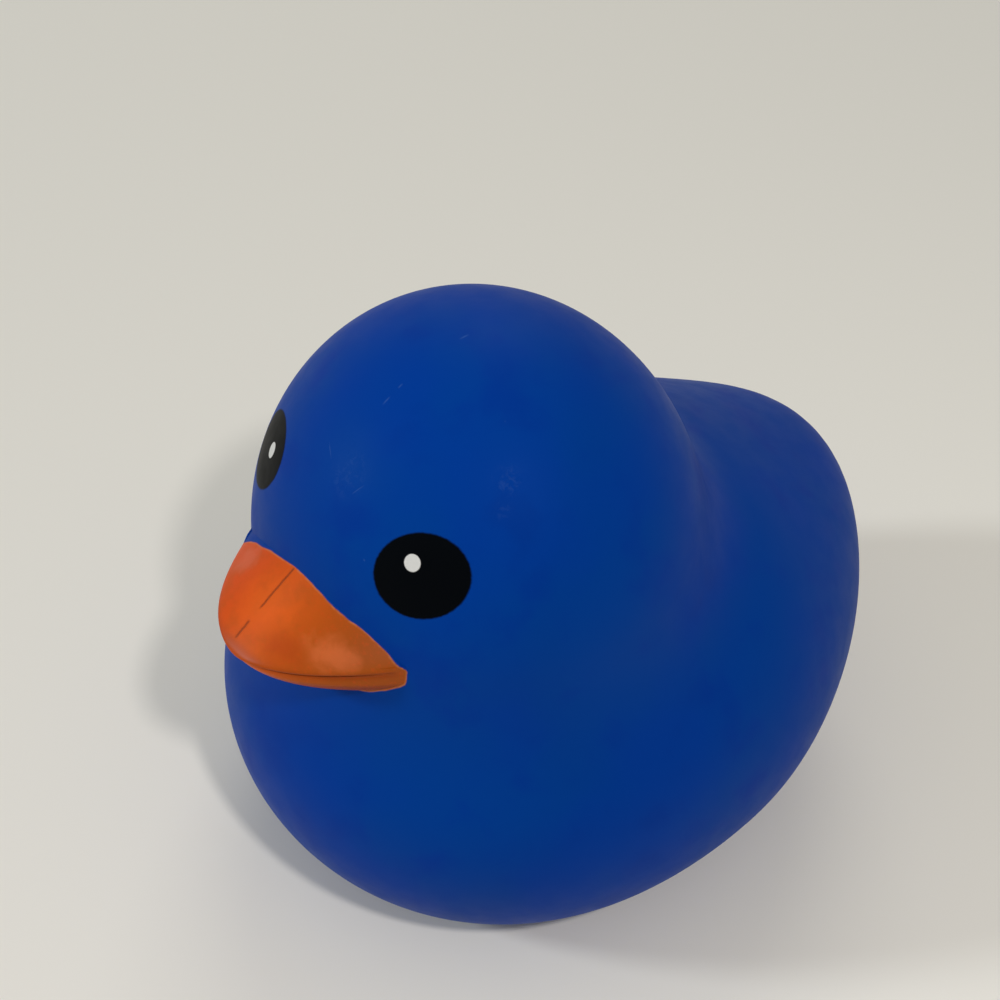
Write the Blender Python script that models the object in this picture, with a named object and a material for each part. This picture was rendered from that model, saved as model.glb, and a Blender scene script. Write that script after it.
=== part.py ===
# Rubber duck: a hollow rotocast vinyl duck with its beak moulded on, and the squeaker that is
# pressed into the hole in its base.
#
# Metres, +Z up. The duck faces -Y and its left side is +X. The base stands on Z = 0 and the
# origin is under the middle of the duck's overall length and width.

import math

import bmesh
import bpy
import numpy as np
from mathutils import Vector

for old in list(bpy.data.objects):
    bpy.data.objects.remove(old, do_unlink=True)

# Head: a ball that is a little taller than it is wide

HEAD_WIDTH = 0.0517
HEAD_DEPTH = 0.0487
HEAD_HEIGHT = 0.0550
HEAD_CENTRE_Z = 0.0437

# Body: a broad egg, cut flat by the base

BODY_WIDTH = 0.0688
BODY_LENGTH = 0.0748
BODY_HEIGHT = 0.0565
BODY_CENTRE_Z = 0.0213
BODY_BEHIND_HEAD = 0.0124
BODY_PITCH = math.radians(1.0)

# Chest: the fuller front of the body, under the beak

CHEST_WIDTH = 0.0558
CHEST_LENGTH = 0.0506
CHEST_HEIGHT = 0.0461
CHEST_CENTRE_Z = 0.0210
CHEST_AHEAD_OF_HEAD = 0.0022

# Tail: a wide blunt wedge that tips up at the back

TAIL_WIDTH = 0.0379
TAIL_LENGTH = 0.0471
TAIL_THICKNESS = 0.0191
TAIL_CENTRE_Z = 0.0202
TAIL_BEHIND_HEAD = 0.0349
TAIL_PITCH = math.radians(33.1)

# How softly one form runs into the next

NECK_BLEND = 0.0065
CHEST_BLEND = 0.0108
TAIL_BLEND = 0.0149
BASE_ROUND = 0.0039

# Vinyl wall

WALL = 0.0022

# Beak: seen from above each half's edge is a parabola, so its half width is the root of the
# spread times the distance behind the tip. The mouth line droops a little at the tip

BEAK_REACH = 0.0320
BEAK_ROOT = 0.0180
MOUTH_ABOVE_HEAD_CENTRE = 0.0018
TIP_DROOP = 0.0005
TIP_DROOP_LENGTH = 0.0006
BILL_SPREAD = 0.0159
BILL_SLOPE = 0.655
BILL_NOSE = 0.0007
BILL_EDGE = 0.0011
BILL_CROWN = 1.8
LOWER_LIP_SETBACK = 0.0003
LOWER_LIP_SPREAD = 0.0164
LOWER_LIP_SLOPE = 0.43
LOWER_LIP_NOSE = 0.0042
LOWER_LIP_EDGE = 0.0039
LOWER_LIP_BELLY = 2.3
MOUTH_GROOVE = 0.0006
MOUTH_GROOVE_LENGTH = 0.0100
BEAK_HOLLOW_BEHIND_TIP = 0.0060

# Squeaker and its seat in the base

SQUEAKER_BEHIND_HEAD = 0.0094
HOLE_DIAMETER = 0.0090
COLLAR_DIAMETER = 0.0200
COLLAR_HEIGHT = 0.0016
WELL_DIAMETER = 0.0150
WELL_DEPTH = 0.0015
FLANGE_RECESS = 0.0002
FIT = 0.0003
BARB_OVERLAP = 0.0008
BARB_LENGTH = 0.0026
BARB_RIM = 0.0008
PLUG_BORE = 0.0052
OUTLET_DIAMETER = 0.0028
FLOOR_OF_BORE = 0.0018
REED_BLOCK_LENGTH = 0.0115
REED_BLOCK_FLAT = 0.0009
REED_SLOT_WIDTH = 0.0016
REED_SLOT_FLOOR = -0.0006
REED_SLOT_END = 0.0014
REED_THICKNESS = 0.0003

# Point in the neck from which the whole skin can be seen, to draw it out from

HEART_BEHIND_HEAD = 0.0040
HEART_Z = (HEAD_CENTRE_Z + BODY_CENTRE_Z) / 2.0 - 0.0060

# Fineness of the faces

SKIN_CUTS = 21
CAVITY_CUTS = 11
ROUND_STEPS = 32
BILL_STATIONS = 12
BILL_ACROSS = 16

EPS = 1e-9


def material(name, colour, roughness, metallic=0.0):
    made = bpy.data.materials.new(name)
    made.use_nodes = True
    shader = made.node_tree.nodes["Principled BSDF"]
    shader.inputs["Base Color"].default_value = (*colour, 1.0)
    shader.inputs["Roughness"].default_value = roughness
    shader.inputs["Metallic"].default_value = metallic
    made.diffuse_color = (*colour, 1.0)
    return made


VINYL = material("blue_vinyl", (0.002, 0.045, 0.30), 0.48)
BEAK_PAINT = material("orange_beak_paint", (0.60, 0.085, 0.012), 0.42)
PLUG_PLASTIC = material("white_plug_plastic", (0.72, 0.72, 0.68), 0.40)
BLOCK_PLASTIC = material("black_block_plastic", (0.02, 0.02, 0.02), 0.45)
REED_BRASS = material("reed_brass", (0.75, 0.52, 0.20), 0.30, 1.0)


def add_object(name, mesh, materials):
    made = bpy.data.objects.new(name, mesh)
    bpy.context.scene.collection.objects.link(made)
    for each in materials:
        mesh.materials.append(each)
    return made


def finish_mesh(bm, name, sharp_over=35.0):
    bmesh.ops.recalc_face_normals(bm, faces=bm.faces[:])
    mesh = bpy.data.meshes.new(name)
    bm.to_mesh(mesh)
    bm.free()
    mesh.shade_smooth()
    mesh.set_sharp_from_angle(angle=math.radians(sharp_over))
    return mesh


def as_cutter(obj):
    obj.hide_render = True
    obj.display_type = "WIRE"
    return obj


def boolean(obj, other, operation, transfer=False):
    step = obj.modifiers.new(operation.lower() + "_" + other.name, "BOOLEAN")
    step.object = other
    step.operation = operation
    step.solver = "EXACT"
    step.material_mode = "TRANSFER" if transfer else "INDEX"


def crisp_creases(obj, sharp_over=35.0):
    """Shade smooth up to the creases that the cuts leave, and flat across them."""
    tree = bpy.data.node_groups.new("crisp_creases", "GeometryNodeTree")
    tree.interface.new_socket("Geometry", in_out="INPUT", socket_type="NodeSocketGeometry")
    tree.interface.new_socket("Geometry", in_out="OUTPUT", socket_type="NodeSocketGeometry")
    source = tree.nodes.new("NodeGroupInput")
    result = tree.nodes.new("NodeGroupOutput")
    edge = tree.nodes.new("GeometryNodeInputMeshEdgeAngle")
    soft = tree.nodes.new("FunctionNodeCompare")
    soft.data_type = "FLOAT"
    soft.operation = "LESS_THAN"
    soft.inputs["B"].default_value = math.radians(sharp_over)
    shade = tree.nodes.new("GeometryNodeSetShadeSmooth")
    shade.domain = "EDGE"
    tree.links.new(edge.outputs["Unsigned Angle"], soft.inputs["A"])
    tree.links.new(source.outputs["Geometry"], shade.inputs["Geometry"])
    tree.links.new(soft.outputs["Result"], shade.inputs["Shade Smooth"])
    tree.links.new(shade.outputs["Geometry"], result.inputs["Geometry"])
    step = obj.modifiers.new("crisp_creases", "NODES")
    step.node_group = tree


# The duck's form, as a function that is negative inside the vinyl and positive outside it

HEAD_CENTRE = np.array([0.0, 0.0, HEAD_CENTRE_Z])


def egg(points, centre, size, pitch=0.0):
    """Roughly the distance from an ellipsoid of the given full size, tipped up at the back."""
    away = points - np.array(centre)
    cos_p = math.cos(pitch)
    sin_p = math.sin(pitch)
    along = cos_p * away[..., 1] + sin_p * away[..., 2]
    upward = cos_p * away[..., 2] - sin_p * away[..., 1]
    local = np.stack([away[..., 0], along, upward], axis=-1)
    radii = np.array(size) / 2.0
    scaled = np.sqrt(((local / radii) ** 2).sum(axis=-1))
    steepness = np.sqrt(((local / radii ** 2) ** 2).sum(axis=-1))
    return scaled * (scaled - 1.0) / np.maximum(steepness, EPS)


def blend(a, b, reach):
    """Union of two forms with a soft crease of the given reach between them."""
    overlap = np.maximum(reach - np.abs(a - b), 0.0) / reach
    return np.minimum(a, b) - overlap * overlap * reach / 4.0


def duck_form(points):
    head = egg(points, HEAD_CENTRE, (HEAD_WIDTH, HEAD_DEPTH, HEAD_HEIGHT))
    body = egg(points, (0.0, BODY_BEHIND_HEAD, BODY_CENTRE_Z),
               (BODY_WIDTH, BODY_LENGTH, BODY_HEIGHT), BODY_PITCH)
    tail = egg(points, (0.0, TAIL_BEHIND_HEAD, TAIL_CENTRE_Z),
               (TAIL_WIDTH, TAIL_LENGTH, TAIL_THICKNESS), TAIL_PITCH)
    chest = egg(points, (0.0, -CHEST_AHEAD_OF_HEAD, CHEST_CENTRE_Z),
                (CHEST_WIDTH, CHEST_LENGTH, CHEST_HEIGHT))
    trunk = blend(blend(body, tail, TAIL_BLEND), chest, CHEST_BLEND)
    whole = blend(head, trunk, NECK_BLEND)
    return -blend(-whole, points[..., 2], BASE_ROUND)


def cast_skin(name, cuts, inset):
    """Closed skin that lies inset inside the duck's form, drawn out from a point in its neck."""
    bm = bmesh.new()
    bmesh.ops.create_cube(bm, size=2.0)
    bmesh.ops.subdivide_edges(bm, edges=bm.edges[:], cuts=cuts, use_grid_fill=True)
    cube = np.array([v.co[:] for v in bm.verts])
    rays = np.tan(cube * math.pi / 4.0)
    rays /= np.linalg.norm(rays, axis=1)[:, None]

    heart = np.array([0.0, HEART_BEHIND_HEAD, HEART_Z])
    farthest = BODY_LENGTH + TAIL_LENGTH
    reaches = np.linspace(farthest, WALL, 120)

    def outside(distance):
        spots = heart + rays * distance[:, None]
        return duck_form(spots) + inset > 0.0

    near = np.zeros(len(rays))
    far = np.full(len(rays), farthest)
    found = np.zeros(len(rays), dtype=bool)
    for reach in reaches:
        clear = outside(np.full(len(rays), reach))
        far = np.where(clear & ~found, reach, far)
        near = np.where(~clear & ~found, reach, near)
        found |= ~clear
    for _ in range(40):
        middle = (near + far) / 2.0
        clear = outside(middle)
        far = np.where(clear, middle, far)
        near = np.where(clear, near, middle)

    skin = heart + rays * ((near + far) / 2.0)[:, None]
    on_floor = np.abs(skin[:, 2] - inset) < 1e-6
    skin[on_floor, 2] = inset
    for vert, spot in zip(bm.verts, skin):
        vert.co = Vector(spot)
    return finish_mesh(bm, name)


# Beak: lofts whose sections grow from the tip back into the head

MOUTH_Z = HEAD_CENTRE_Z + MOUTH_ABOVE_HEAD_CENTRE


def growth(behind, slope, nose):
    """Height of a profile that starts as a round nose and runs on at a steady slope."""
    return math.sqrt((slope * behind) ** 2 + nose * behind)


def mouth_line(behind):
    return MOUTH_Z - TIP_DROOP * math.exp(-behind / TIP_DROOP_LENGTH)


def bill_height(behind):
    ridge = MOUTH_Z - TIP_DROOP + growth(behind, BILL_SLOPE, BILL_NOSE)
    return ridge - mouth_line(behind)


def lip_height(behind):
    return growth(behind, LOWER_LIP_SLOPE, LOWER_LIP_NOSE)


def edge_share(height, edge):
    """Thickness of a rim that nears the given edge as the height above it grows."""
    return height * edge / (height + edge)


def across_steps(count):
    return [math.sin(math.pi * (i / count - 0.5)) for i in range(count + 1)]


def upper_bill_section(behind):
    half = math.sqrt(BILL_SPREAD * behind)
    height = bill_height(behind)
    low = mouth_line(behind)
    rim = edge_share(height, BILL_EDGE)
    ring = []
    for across in across_steps(BILL_ACROSS):
        rounding = math.sqrt(max(0.0, 1.0 - across ** 6))
        dome = 1.0 - abs(across) ** BILL_CROWN
        ring.append((half * across, low + rim * rounding + (height - rim) * dome))
    for share in (0.6, 0.0, -0.6):
        ring.append((half * share, low))
    return ring


def lower_lip_section(behind):
    half = math.sqrt(LOWER_LIP_SPREAD * behind)
    height = lip_height(behind)
    high = mouth_line(behind + LOWER_LIP_SETBACK)
    rim = edge_share(height, LOWER_LIP_EDGE)
    ring = []
    for across in across_steps(BILL_ACROSS):
        rounding = 0.5 + 0.5 * math.sqrt(max(0.0, 1.0 - across ** 4))
        belly = (height - rim) * (1.0 - abs(across) ** LOWER_LIP_BELLY)
        ring.append((-half * across, high - rim * rounding - belly))
    bill_half = math.sqrt(BILL_SPREAD * (behind + LOWER_LIP_SETBACK))
    groove = MOUTH_GROOVE * max(0.0, 1.0 - (behind / MOUTH_GROOVE_LENGTH) ** 4)
    waist = max(min(half, bill_half) - groove, half / 3.0)
    neck_low = high - 0.2 * rim
    neck_high = high + 0.3 * rim
    ring += [(-waist, neck_low), (-waist, neck_high), (0.0, neck_high)]
    ring += [(waist, neck_high), (waist, neck_low)]
    return ring


def beak_hollow_section(behind):
    half = math.sqrt(BILL_SPREAD * behind) - 1.5 * WALL
    above = bill_height(behind) - WALL
    below = lip_height(behind) - WALL
    middle = mouth_line(behind)
    ring = []
    for across in across_steps(BILL_ACROSS // 2):
        ring.append((half * across, middle + above * (1.0 - across * across)))
    for across in (0.6, 0.0, -0.6):
        ring.append((half * across, middle - below * (1.0 - across * across)))
    return ring


def loft_bill(name, section, tip_y, first, last):
    """Skin a run of sections, closed at the tip by a point and in the head by a flat end."""
    bm = bmesh.new()
    rings = []
    for i in range(1, BILL_STATIONS + 1):
        behind = first + (last - first) * (i / BILL_STATIONS) ** 2
        rings.append([bm.verts.new((x, tip_y + behind, z)) for x, z in section(behind)])
    tip_z = sum(v.co.z for v in rings[0]) / len(rings[0])
    tip = bm.verts.new((0.0, tip_y + first, tip_z))
    count = len(rings[0])
    for k in range(count):
        nxt = (k + 1) % count
        bm.faces.new((tip, rings[0][k], rings[0][nxt]))
        for here, there in zip(rings, rings[1:]):
            bm.faces.new((here[k], there[k], there[nxt], here[nxt]))
    bm.faces.new(rings[-1])
    return finish_mesh(bm, name)


# Turned pieces: a profile of (radius, height) pairs, from the axis round to the axis


def turned(name, profile):
    bm = bmesh.new()
    verts = [bm.verts.new((radius, 0.0, height)) for radius, height in profile]
    edges = [bm.edges.new(pair) for pair in zip(verts, verts[1:])]
    bmesh.ops.spin(bm, geom=verts + edges, cent=(0, 0, 0), axis=(0, 0, 1),
                   angle=2.0 * math.pi, steps=ROUND_STEPS, use_merge=True, use_duplicate=False)
    bmesh.ops.remove_doubles(bm, verts=bm.verts[:], dist=1e-6)
    return finish_mesh(bm, name, 30.0)


def cylinder(name, radius, low, high, steps=ROUND_STEPS):
    return turned(name, [(0.0, low), (radius, low), (radius, high), (0.0, high)])


def block(name, low, high):
    bm = bmesh.new()
    bmesh.ops.create_cube(bm, size=1.0)
    low = Vector(low)
    high = Vector(high)
    for vert in bm.verts:
        vert.co = Vector((low[i] + (high[i] - low[i]) * (vert.co[i] + 0.5) for i in range(3)))
    return finish_mesh(bm, name)


# Shell: outer skin and beak, less the hollow, the well and the hole

shell = add_object("vinyl_shell", cast_skin("vinyl_shell", SKIN_CUTS, 0.0), [VINYL, BEAK_PAINT])

upper_bill = as_cutter(add_object(
    "upper_bill", loft_bill("upper_bill", upper_bill_section, -BEAK_REACH, 0.0, BEAK_ROOT),
    [BEAK_PAINT]))
lower_lip = as_cutter(add_object(
    "lower_lip", loft_bill("lower_lip", lower_lip_section, LOWER_LIP_SETBACK - BEAK_REACH,
                           0.0, BEAK_ROOT),
    [BEAK_PAINT]))
hollow = as_cutter(add_object(
    "hollow", cast_skin("hollow", CAVITY_CUTS, WALL), []))
beak_hollow = as_cutter(add_object(
    "beak_hollow", loft_bill("beak_hollow", beak_hollow_section, -BEAK_REACH,
                             BEAK_HOLLOW_BEHIND_TIP, BEAK_ROOT),
    []))
collar = as_cutter(add_object(
    "collar", cylinder("collar", COLLAR_DIAMETER / 2.0, 0.0, WALL + COLLAR_HEIGHT), []))
boolean(hollow, collar, "DIFFERENCE")

squeaker_y = SQUEAKER_BEHIND_HEAD
collar.location.y = squeaker_y

hole_radius = HOLE_DIAMETER / 2.0
well_radius = WELL_DIAMETER / 2.0
collar_top = WALL + COLLAR_HEIGHT
seat = as_cutter(add_object("squeaker_seat", turned("squeaker_seat", [
    (0.0, -WALL),
    (well_radius, -WALL),
    (well_radius, WELL_DEPTH),
    (hole_radius, WELL_DEPTH),
    (hole_radius, collar_top + WALL),
    (0.0, collar_top + WALL)]), []))
seat.location.y = squeaker_y

boolean(shell, upper_bill, "UNION", transfer=True)
boolean(shell, lower_lip, "UNION", transfer=True)
boolean(shell, hollow, "DIFFERENCE")
boolean(shell, beak_hollow, "DIFFERENCE")
boolean(shell, seat, "DIFFERENCE")
crisp_creases(shell)

# Squeaker plug: a flange in the well, a neck through the collar, and a barb behind it

bore_radius = PLUG_BORE / 2.0
outlet_radius = OUTLET_DIAMETER / 2.0
flange_radius = well_radius - FIT
flange_top = WELL_DEPTH - FIT
neck_radius = hole_radius - FIT
barb_z = collar_top + FIT
barb_radius = hole_radius + BARB_OVERLAP
plug_top = barb_z + BARB_LENGTH

plug = add_object("squeaker_plug", turned("squeaker_plug", [
    (outlet_radius, FLANGE_RECESS),
    (flange_radius, FLANGE_RECESS),
    (flange_radius, flange_top),
    (neck_radius, flange_top),
    (neck_radius, barb_z),
    (barb_radius, barb_z),
    (barb_radius, barb_z + BARB_RIM),
    (neck_radius - FIT, plug_top),
    (bore_radius, plug_top),
    (bore_radius, FLOOR_OF_BORE),
    (outlet_radius, FLOOR_OF_BORE),
    (outlet_radius, FLANGE_RECESS)]), [PLUG_PLASTIC])
plug.location.y = squeaker_y

# Reed block: a half-round rod in the plug's bore, with an air slot down its flat side

block_radius = bore_radius - FIT
block_foot = FLOOR_OF_BORE + FIT
block_top = block_foot + REED_BLOCK_LENGTH
slot_top = block_top - REED_SLOT_END

reed_block = add_object(
    "reed_block", cylinder("reed_block", block_radius, block_foot, block_top), [BLOCK_PLASTIC])
flat_cut = as_cutter(add_object("flat_cut", block(
    "flat_cut",
    (REED_BLOCK_FLAT, -bore_radius, block_foot - FIT),
    (bore_radius, bore_radius, block_top + FIT)), []))
slot_cut = as_cutter(add_object("slot_cut", block(
    "slot_cut",
    (REED_SLOT_FLOOR, -REED_SLOT_WIDTH / 2.0, block_foot - FIT),
    (bore_radius, REED_SLOT_WIDTH / 2.0, slot_top)), []))
boolean(reed_block, flat_cut, "DIFFERENCE")
boolean(reed_block, slot_cut, "DIFFERENCE")
crisp_creases(reed_block)

# Reed: a brass strip over the slot, its foot trapped between the block and the bore

reed_back = REED_BLOCK_FLAT + FIT
reed_front = reed_back + REED_THICKNESS
reed_half = math.sqrt(block_radius ** 2 - reed_front ** 2)
reed = add_object("squeaker_reed", block(
    "squeaker_reed",
    (reed_back, -reed_half, block_foot),
    (reed_front, reed_half, (slot_top + block_top) / 2.0)), [REED_BRASS])

for each in (reed_block, flat_cut, slot_cut, reed):
    each.location.y = squeaker_y

# The whole duck is set so that the origin lies under the middle of its length

duck = bpy.data.objects.new("duck", None)
bpy.context.scene.collection.objects.link(duck)
for each in (shell, upper_bill, lower_lip, hollow, beak_hollow, collar, seat, plug,
             reed_block, flat_cut, slot_cut, reed):
    each.parent = duck
tail_tip = max(v.co.y for v in shell.data.vertices)
duck.location.y = (BEAK_REACH - tail_tip) / 2.0
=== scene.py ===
import math

import bmesh
import bpy
import numpy as np
from mathutils import Matrix, Vector
from mathutils.kdtree import KDTree


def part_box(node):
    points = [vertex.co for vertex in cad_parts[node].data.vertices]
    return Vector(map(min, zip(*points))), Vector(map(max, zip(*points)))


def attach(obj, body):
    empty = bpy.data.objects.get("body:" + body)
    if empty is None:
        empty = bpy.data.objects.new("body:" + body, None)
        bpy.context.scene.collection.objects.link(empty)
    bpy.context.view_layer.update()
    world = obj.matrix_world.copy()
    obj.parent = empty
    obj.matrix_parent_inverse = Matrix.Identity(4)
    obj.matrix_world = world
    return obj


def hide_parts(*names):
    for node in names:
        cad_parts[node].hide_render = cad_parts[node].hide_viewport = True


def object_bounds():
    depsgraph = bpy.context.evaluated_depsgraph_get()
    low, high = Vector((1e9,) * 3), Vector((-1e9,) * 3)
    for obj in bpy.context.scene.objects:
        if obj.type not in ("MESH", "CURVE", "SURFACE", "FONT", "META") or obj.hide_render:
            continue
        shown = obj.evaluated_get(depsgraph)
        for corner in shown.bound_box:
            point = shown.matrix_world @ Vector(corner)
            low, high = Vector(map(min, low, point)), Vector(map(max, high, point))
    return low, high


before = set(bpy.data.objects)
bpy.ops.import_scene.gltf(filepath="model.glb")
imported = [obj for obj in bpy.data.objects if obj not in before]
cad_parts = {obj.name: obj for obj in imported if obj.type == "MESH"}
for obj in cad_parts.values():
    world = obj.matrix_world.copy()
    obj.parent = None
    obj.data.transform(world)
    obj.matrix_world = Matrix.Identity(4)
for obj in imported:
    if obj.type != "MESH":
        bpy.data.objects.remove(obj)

cad_low, cad_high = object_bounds()

# Shell: the duck itself is one hollow casting of soft blue vinyl, turned in a hot closed mould.
# Its form is a ball head blended into an egg body with a fuller chest and a tail wedge that
# tips up, and a flat base. Sizes are in metres, with the middle of the head at Y = 0 for now.

HEAD_SIZE = (0.0517, 0.0487, 0.0550)
HEAD_Z = 0.0437
BODY_SIZE = (0.0688, 0.0748, 0.0565)
BODY_PLACE = (0.0, 0.0124, 0.0213)
BODY_PITCH = math.radians(1.0)
CHEST_SIZE = (0.0558, 0.0506, 0.0461)
CHEST_PLACE = (0.0, -0.0022, 0.0210)
TAIL_SIZE = (0.0379, 0.0471, 0.0191)
TAIL_PLACE = (0.0, 0.0349, 0.0202)
TAIL_PITCH = math.radians(33.1)
NECK_BLEND = 0.0065
CHEST_BLEND = 0.0108
TAIL_BLEND = 0.0149
BASE_ROUND = 0.0039
WALL = 0.0022
NECK_BACK = 0.0040
NECK_DROP = 0.0060
SKIN_CUTS = 89
HOLLOW_CUTS = 21
SEARCH_STEPS = 120
SEARCH_HALVINGS = 30
HAIR = 1e-6
NOT_ZERO = 1e-9

HEAD_CENTRE = np.array([0.0, 0.0, HEAD_Z])
NECK_POINT = np.array([0.0, NECK_BACK, (HEAD_Z + BODY_PLACE[2]) / 2.0 - NECK_DROP])


def egg(points, place, size, pitch=0.0):
    """Nearly the distance from an egg of that full size, tipped up at the back by pitch."""
    away = points - np.array(place)
    along = math.cos(pitch) * away[..., 1] + math.sin(pitch) * away[..., 2]
    upward = math.cos(pitch) * away[..., 2] - math.sin(pitch) * away[..., 1]
    local = np.stack([away[..., 0], along, upward], axis=-1)
    radii = np.array(size) / 2.0
    scaled = np.sqrt(((local / radii) ** 2).sum(axis=-1))
    steepness = np.sqrt(((local / radii ** 2) ** 2).sum(axis=-1))
    return scaled * (scaled - 1.0) / np.maximum(steepness, NOT_ZERO)


def melt(first, second, reach):
    """Two forms run together, with a soft crease of that reach."""
    overlap = np.maximum(reach - np.abs(first - second), 0.0) / reach
    return np.minimum(first, second) - overlap * overlap * reach / 4.0


def duck_form(points):
    """Below zero inside the duck, above zero outside."""
    head = egg(points, HEAD_CENTRE, HEAD_SIZE)
    body = egg(points, BODY_PLACE, BODY_SIZE, BODY_PITCH)
    tail = egg(points, TAIL_PLACE, TAIL_SIZE, TAIL_PITCH)
    chest = egg(points, CHEST_PLACE, CHEST_SIZE)
    trunk = melt(melt(body, tail, TAIL_BLEND), chest, CHEST_BLEND)
    return -melt(-melt(head, trunk, NECK_BLEND), points[..., 2], BASE_ROUND)


def mesh_object(name, bm):
    """A smooth-shaded object in the scene, made from the bmesh, which is freed."""
    bmesh.ops.recalc_face_normals(bm, faces=bm.faces[:])
    mesh = bpy.data.meshes.new(name)
    bm.to_mesh(mesh)
    bm.free()
    mesh.shade_smooth()
    made = bpy.data.objects.new(name, mesh)
    bpy.context.scene.collection.objects.link(made)
    return made


def moulded_skin(name, cuts, inset):
    """The duck's form as a closed skin, drawn out from a point in the neck.

    Along each ray the skin is looked for from outside inwards, by steps and then by halving.
    """
    bm = bmesh.new()
    bmesh.ops.create_cube(bm, size=2.0)
    bmesh.ops.subdivide_edges(bm, edges=bm.edges[:], cuts=cuts, use_grid_fill=True)
    cube = np.array([v.co[:] for v in bm.verts])
    rays = np.tan(cube * math.pi / 4.0)
    rays /= np.linalg.norm(rays, axis=1)[:, None]
    near = np.zeros(len(rays))
    far = np.full(len(rays), BODY_SIZE[1] + TAIL_SIZE[1])
    found = np.zeros(len(rays), dtype=bool)
    for reach in np.linspace(far[0], WALL, SEARCH_STEPS):
        clear = duck_form(NECK_POINT + rays * reach) + inset > 0.0
        far = np.where(clear & ~found, reach, far)
        near = np.where(~clear & ~found, reach, near)
        found |= ~clear
    for _ in range(SEARCH_HALVINGS):
        middle = (near + far) / 2.0
        clear = duck_form(NECK_POINT + rays * middle[:, None]) + inset > 0.0
        far = np.where(clear, middle, far)
        near = np.where(clear, near, middle)
    skin = NECK_POINT + rays * ((near + far) / 2.0)[:, None]
    skin[np.abs(skin[:, 2] - inset) < HAIR, 2] = inset
    for vert, spot in zip(bm.verts, skin):
        vert.co = Vector(spot)
    return mesh_object(name, bm)


def cut_or_join(obj, other, operation):
    """Boolean with other, which is a mould for it and isn't part of the duck."""
    step = obj.modifiers.new(other.name, "BOOLEAN")
    step.object = other
    step.operation = operation
    step.solver = "EXACT"


# The beak is moulded on: a broad bill over a rolled lower lip, with the mouth as a groove between
# them. From above each edge is a parabola, so a half width is the root of spread x distance from
# the tip, and each height grows from a round nose into a steady slope.

BEAK_REACH = 0.0320
BEAK_ROOT = 0.0180
MOUTH_Z = HEAD_Z + 0.0018
TIP_DROOP = 0.0005
TIP_DROOP_LENGTH = 0.0006
BILL_SPREAD = 0.0159
BILL_SLOPE = 0.655
BILL_NOSE = 0.0007
BILL_EDGE = 0.0011
BILL_CROWN = 1.8
BILL_SQUARENESS = 6
BILL_RIM_ROUND = 0.00035
BILL_RIM_OF_EDGE = 0.4
BILL_RIM_OF_HALF = 0.3
BILL_RIM_STEPS = 4
BILL_UNDERSIDE = (0.6, 0.2, -0.2, -0.6)
LIP_SETBACK = 0.0003
LIP_SPREAD = 0.0164
LIP_SLOPE = 0.43
LIP_NOSE = 0.0042
LIP_EDGE = 0.0039
LIP_BELLY = 2.3
LIP_SQUARENESS = 4
LIP_ROLL_STEPS = 6
LIP_ROLL_RISE = 0.4
LIP_INTO_BILL = 0.3
GROOVE_DEPTH = 0.0006
GROOVE_LENGTH = 0.0100
GROOVE_FADE = 4
BEAK_STATIONS = 44
BEAK_ACROSS = 56


def growth(behind, slope, nose):
    """Height at a distance behind the tip: a round nose that runs into a steady slope."""
    return math.sqrt((slope * behind) ** 2 + nose * behind)


def mouth_line(behind):
    """The mouth's height, which droops a little at the very tip."""
    return MOUTH_Z - TIP_DROOP * math.exp(-behind / TIP_DROOP_LENGTH)


def across_steps(count):
    """Places from -1 to 1, closer together at both ends."""
    return [math.sin(math.pi * (i / count - 0.5)) for i in range(count + 1)]


def bill_ring(behind):
    """Section of the bill: a dome over a rounded rim and a flat underside."""
    half = math.sqrt(BILL_SPREAD * behind)
    low = mouth_line(behind)
    height = MOUTH_Z - TIP_DROOP + growth(behind, BILL_SLOPE, BILL_NOSE) - low
    edge = height * BILL_EDGE / (height + BILL_EDGE)
    turn = min(BILL_RIM_ROUND, BILL_RIM_OF_EDGE * edge, BILL_RIM_OF_HALF * half)
    ring = []
    for across in across_steps(BEAK_ACROSS):
        rounding = math.sqrt(max(0.0, 1.0 - across ** BILL_SQUARENESS))
        dome = (height - edge) * (1.0 - abs(across) ** BILL_CROWN)
        ring.append((half * across, low + turn + (edge - turn) * rounding + dome))
    for k in range(1, BILL_RIM_STEPS + 1):
        swing = k * math.pi / (2.0 * BILL_RIM_STEPS)
        ring.append((half - turn * (1.0 - math.cos(swing)), low + turn * (1.0 - math.sin(swing))))
    ring += [(half * share, low) for share in BILL_UNDERSIDE]
    for k in range(BILL_RIM_STEPS, 0, -1):
        swing = k * math.pi / (2.0 * BILL_RIM_STEPS)
        ring.append((turn * (1.0 - math.cos(swing)) - half, low + turn * (1.0 - math.sin(swing))))
    return ring


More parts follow.
